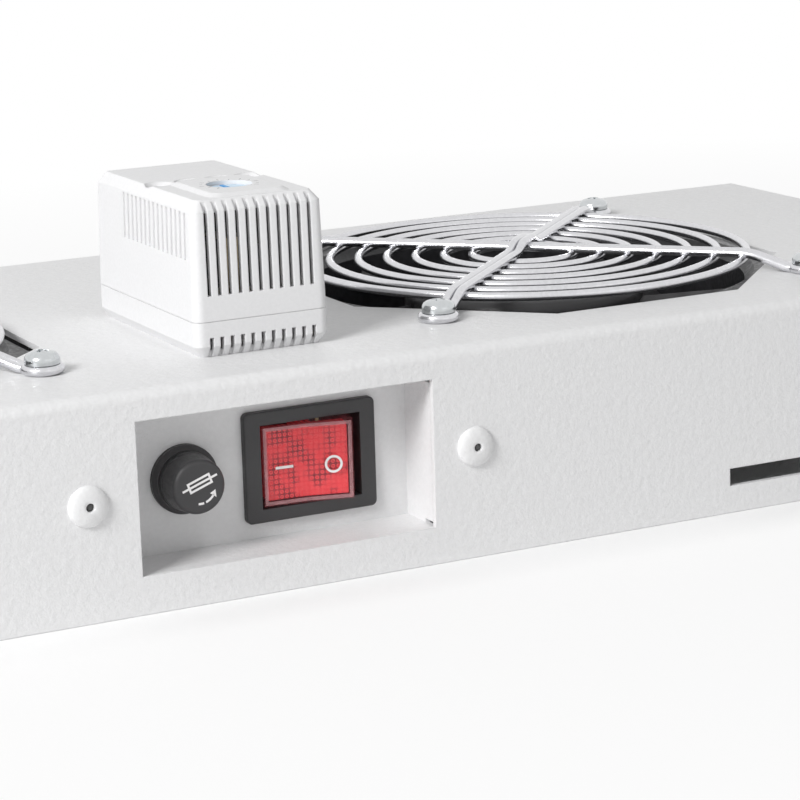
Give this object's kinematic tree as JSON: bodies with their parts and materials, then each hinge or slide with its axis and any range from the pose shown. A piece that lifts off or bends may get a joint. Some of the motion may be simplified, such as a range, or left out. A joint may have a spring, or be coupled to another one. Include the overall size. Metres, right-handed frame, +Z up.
{
  "type": "rack fan tray",
  "caption": "Shallow folded steel tray for a 19 inch rack with fans under octagonal guarded openings, a top-mounted thermostat, and a recessed rocker switch and fuse.",
  "frame": {"origin": "centre of the four rack slots, on the rear faces of the ears, which bear on the rack rails", "axes": "+X to the right seen from the front, +Y to the back of the rack, +Z up"},
  "size_m": [0.4826, 0.1678, 0.0862],
  "materials": {
    "powder_coat": "fine textured powder coat",
    "black_casting": "satin black paint",
    "black_plastic": "satin",
    "white_plastic": "satin",
    "blue_plastic": "satin",
    "red_lens": "clear gloss",
    "red_diffuser": "moulded diffuser",
    "lamp_glass": "clear",
    "brass": "tinned",
    "zinc": "bright zinc plated",
    "steel": "ground",
    "guard_wire": "bright plated wire",
    "black_rubber": "matte"
  },
  "bodies": {
    "tray": {"tray_shell": "powder_coat", "ear_left": "powder_coat", "ear_right": "powder_coat", "ear_rivets": "powder_coat", "recess_box": "powder_coat", "recess_rivets": "powder_coat", "switch_housing": "black_plastic", "switch_terminals": "brass", "switch_lamp": "lamp_glass", "fuse_holder_body": "black_plastic", "fuse_holder_nut": "black_plastic", "fuse_holder_terminals": "brass", "thermostat_base": "white_plastic", "thermostat_cover": "white_plastic", "thermostat_terminals": "black_plastic", "thermostat_terminal_screws": "zinc", "thermostat_bimetal": "brass", "thermostat_screws": "zinc", "cable_grommet": "black_rubber", "inlet_body": "black_plastic", "inlet_pins": "brass", "inlet_screws": "zinc", "inlet_nuts": "zinc", "terminal_block": "white_plastic", "terminal_block_screws": "zinc", "terminal_block_nuts": "zinc", "earth_nut": "zinc", "fan_frame_left": "black_casting", "fan_bearings_left": "steel", "fan_stator_left": "steel", "guard_left": "guard_wire", "guard_screws_left": "zinc", "guard_nuts_left": "zinc", "fan_frame_right": "black_casting", "fan_bearings_right": "steel", "fan_stator_right": "steel", "guard_right": "guard_wire", "guard_screws_right": "zinc", "guard_nuts_right": "zinc"},
    "switch_rocker_body": {"switch_rocker": "red_lens", "switch_core": "red_diffuser"},
    "fuse_link": {"fuse_link_glass": "lamp_glass", "fuse_link_caps": "zinc"},
    "fuse_carrier": {"fuse_cap": "black_plastic"},
    "dial": {"thermostat_dial": "blue_plastic"},
    "impeller_left": {"fan_rotor_left": "black_plastic", "fan_shaft_left": "steel"},
    "impeller_right": {"fan_rotor_right": "black_plastic", "fan_shaft_right": "steel"}
  },
  "joints": [
    {"name": "rocker_hinge", "type": "hinge", "parent": "tray", "child": "switch_rocker_body", "pos_m": [0.0078, 0.0175, 0.00347], "axis": [0, 0, 1], "range_deg": [0, 20]},
    {"name": "fuse_slide", "type": "slide", "parent": "tray", "child": "fuse_link", "axis": [0, -1, 0], "range_m": [0, 0.032]},
    {"name": "fuse_twist", "type": "hinge", "parent": "fuse_link", "child": "fuse_carrier", "pos_m": [-0.0229, 0.0122, 0.00347], "axis": [0, -1, 0], "range_deg": [0, 60]},
    {"name": "dial_turn", "type": "hinge", "parent": "tray", "child": "dial", "pos_m": [0.0008, 0.0343, 0.06277], "axis": [0, 0, 1], "range_deg": [-135, 135]},
    {"name": "fan_left_spin", "type": "hinge", "parent": "tray", "child": "impeller_left", "pos_m": [-0.1017, 0.0785, 0.00668], "axis": [0, 0, 1], "continuous": true},
    {"name": "fan_right_spin", "type": "hinge", "parent": "tray", "child": "impeller_right", "pos_m": [0.1017, 0.0785, 0.00668], "axis": [0, 0, 1], "continuous": true}
  ]
}
